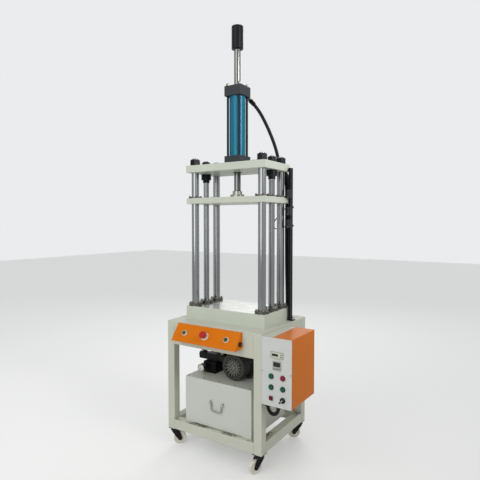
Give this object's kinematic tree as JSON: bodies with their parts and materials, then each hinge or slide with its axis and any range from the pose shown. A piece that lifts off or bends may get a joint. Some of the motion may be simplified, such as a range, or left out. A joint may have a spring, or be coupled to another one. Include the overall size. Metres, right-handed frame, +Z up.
{
  "type": "four-column hydraulic press",
  "caption": "Four-column hydraulic press on a welded stand with casters, top-mounted tie-rod cylinder, sliding plate, sloped button box, side control box, oil tank and motor pump.",
  "frame": {"origin": "on the floor under the middle of the outline seen from above", "axes": "+Z up, -Y towards the operator at the front, +X to the side with the control box"},
  "size_m": [0.824, 0.62, 2.502],
  "materials": {
    "stand_paint": "satin pale grey-green paint",
    "plate_paint": "satin pale green paint over machined plate",
    "orange_paint": "textured orange powder coat",
    "panel_grey": "light grey powder coat",
    "ground_chrome": "ground and hard chromed",
    "black_steel": "black oxide",
    "bright_steel": "zinc plated",
    "cap_charcoal": "charcoal paint",
    "barrel_blue": "metallic teal paint",
    "hose_rubber": "matte",
    "black_plastic": "matte",
    "cream_plastic": "gloss",
    "green_plastic": "gloss",
    "red_plastic": "gloss",
    "device_grey": "matte",
    "tank_white": "white paint",
    "motor_grey": "cast, painted grey",
    "wheel_ivory": "hard ivory plastic"
  },
  "bodies": {
    "press": {"stand_frame": "stand_paint", "stand_top": "stand_paint", "rear_panel": "stand_paint", "box_bracket": "stand_paint", "bed_plate": "plate_paint", "crown_plate": "plate_paint", "main_columns": "ground_chrome", "guide_rods": "ground_chrome", "column_nuts": "black_steel", "foot_flanges": "bright_steel", "flange_screws": "bright_steel", "tie_rods": "black_steel", "cylinder_caps": "cap_charcoal", "barrel": "barrel_blue", "button_box": "orange_paint", "control_box": "orange_paint", "control_panel": "panel_grey", "panel_displays": "device_grey", "button_bezels": "cream_plastic", "oil_tank": "tank_white", "tank_lid": "tank_white", "motor_housing": "motor_grey", "fan_cover": "motor_grey", "pump_body": "motor_grey", "valve_manifold": "black_steel", "solenoid_valve": "black_plastic", "pressure_gauge": "bright_steel", "pipe_fittings": "bright_steel", "switch_rail": "black_steel", "position_switches": "black_plastic", "hose_extend": "hose_rubber", "hose_retract": "hose_rubber", "switch_cable": "hose_rubber", "conduit": "hose_rubber", "cable_glands": "black_plastic", "caster_plates": "black_steel"},
    "ram": {"piston_rod": "ground_chrome", "piston": "bright_steel", "rod_flange": "black_steel", "slider_plate": "plate_paint", "guide_bushings": "bright_steel"},
    "nut": {"stroke_nut": "black_steel"},
    "handle": {"tank_handle": "bright_steel"},
    "rotor": {"motor_rotor": "bright_steel"},
    "selector": {"selector_knob": "black_plastic"},
    "left_button_body": {"left_button": "green_plastic"},
    "right_button_body": {"right_button": "green_plastic"},
    "stop_button_body": {"stop_button": "red_plastic"},
    "start_button_body": {"start_button": "green_plastic"},
    "halt_button_body": {"halt_button": "red_plastic"},
    "jog_button_body": {"jog_button": "green_plastic"},
    "reset_button_body": {"reset_button": "green_plastic"},
    "fork_body_front_left": {"fork_front_left": "black_steel"},
    "wheel_body_front_left": {"wheel_front_left": "wheel_ivory"},
    "fork_body_front_right": {"fork_front_right": "black_steel"},
    "wheel_body_front_right": {"wheel_front_right": "wheel_ivory"},
    "fork_body_rear_left": {"fork_rear_left": "black_steel"},
    "wheel_body_rear_left": {"wheel_rear_left": "wheel_ivory"},
    "fork_body_rear_right": {"fork_rear_right": "black_steel"},
    "wheel_body_rear_right": {"wheel_rear_right": "wheel_ivory"}
  },
  "joints": [
    {"name": "ram_slide", "type": "slide", "parent": "press", "child": "ram", "axis": [0, 0, 1], "range_m": [-0.2, 0]},
    {"name": "stroke_nut_turn", "type": "hinge", "parent": "ram", "child": "nut", "pos_m": [-0.087, 0.03699, 2.435], "axis": [0, 0, 1], "continuous": true},
    {"name": "left_button_press", "type": "slide", "parent": "press", "child": "left_button_body", "axis": [0, -0.8076, 0.5898], "range_m": [-0.004, 0], "stiffness_N_per_m": 600, "springref_m": 0.003},
    {"name": "right_button_press", "type": "slide", "parent": "press", "child": "right_button_body", "axis": [0, -0.8076, 0.5898], "range_m": [-0.004, 0], "stiffness_N_per_m": 600, "springref_m": 0.003},
    {"name": "stop_button_press", "type": "slide", "parent": "press", "child": "stop_button_body", "axis": [0, -0.8076, 0.5898], "range_m": [-0.006, 0], "stiffness_N_per_m": 600, "springref_m": 0.003},
    {"name": "start_button_press", "type": "slide", "parent": "press", "child": "start_button_body", "axis": [0, -1, 0], "range_m": [-0.003, 0], "stiffness_N_per_m": 600, "springref_m": 0.003},
    {"name": "halt_button_press", "type": "slide", "parent": "press", "child": "halt_button_body", "axis": [0, -1, 0], "range_m": [-0.003, 0], "stiffness_N_per_m": 600, "springref_m": 0.003},
    {"name": "jog_button_press", "type": "slide", "parent": "press", "child": "jog_button_body", "axis": [0, -1, 0], "range_m": [-0.003, 0], "stiffness_N_per_m": 600, "springref_m": 0.003},
    {"name": "reset_button_press", "type": "slide", "parent": "press", "child": "reset_button_body", "axis": [0, -1, 0], "range_m": [-0.003, 0], "stiffness_N_per_m": 600, "springref_m": 0.003},
    {"name": "selector_turn", "type": "hinge", "parent": "press", "child": "selector", "pos_m": [0.3625, -0.23001, 0.433], "axis": [0, -1, 0], "range_deg": [0, 90]},
    {"name": "handle_swing", "type": "hinge", "parent": "press", "child": "handle", "pos_m": [-0.067, -0.21601, 0.319], "axis": [1, 0, 0], "range_deg": [-180, 4]},
    {"name": "rotor_spin", "type": "hinge", "parent": "press", "child": "rotor", "pos_m": [-0.005, 0.01199, 0.513], "axis": [0, 1, 0], "continuous": true},
    {"name": "swivel_front_left", "type": "hinge", "parent": "press", "child": "fork_body_front_left", "pos_m": [-0.382, -0.20001, 0.075], "axis": [0, 0, 1], "continuous": true},
    {"name": "roll_front_left", "type": "hinge", "parent": "fork_body_front_left", "child": "wheel_body_front_left", "pos_m": [-0.36087, -0.18164, 0.0375], "axis": [0.6561, -0.7547, 0], "continuous": true},
    {"name": "swivel_front_right", "type": "hinge", "parent": "press", "child": "fork_body_front_right", "pos_m": [0.208, -0.20001, 0.075], "axis": [0, 0, 1], "continuous": true},
    {"name": "roll_front_right", "type": "hinge", "parent": "fork_body_front_right", "child": "wheel_body_front_right", "pos_m": [0.19486, -0.22473, 0.0375], "axis": [-0.8829, 0.4695, 0], "continuous": true},
    {"name": "swivel_rear_left", "type": "hinge", "parent": "press", "child": "fork_body_rear_left", "pos_m": [-0.382, 0.27999, 0.075], "axis": [0, 0, 1], "continuous": true},
    {"name": "roll_rear_left", "type": "hinge", "parent": "fork_body_rear_left", "child": "wheel_body_rear_left", "pos_m": [-0.35604, 0.2695, 0.0375], "axis": [-0.3746, -0.9272, 0], "continuous": true},
    {"name": "swivel_rear_right", "type": "hinge", "parent": "press", "child": "fork_body_rear_right", "pos_m": [0.208, 0.27999, 0.075], "axis": [0, 0, 1], "continuous": true},
    {"name": "roll_rear_right", "type": "hinge", "parent": "fork_body_rear_right", "child": "wheel_body_rear_right", "pos_m": [0.18506, 0.26393, 0.0375], "axis": [-0.5736, 0.8192, 0], "continuous": true}
  ]
}
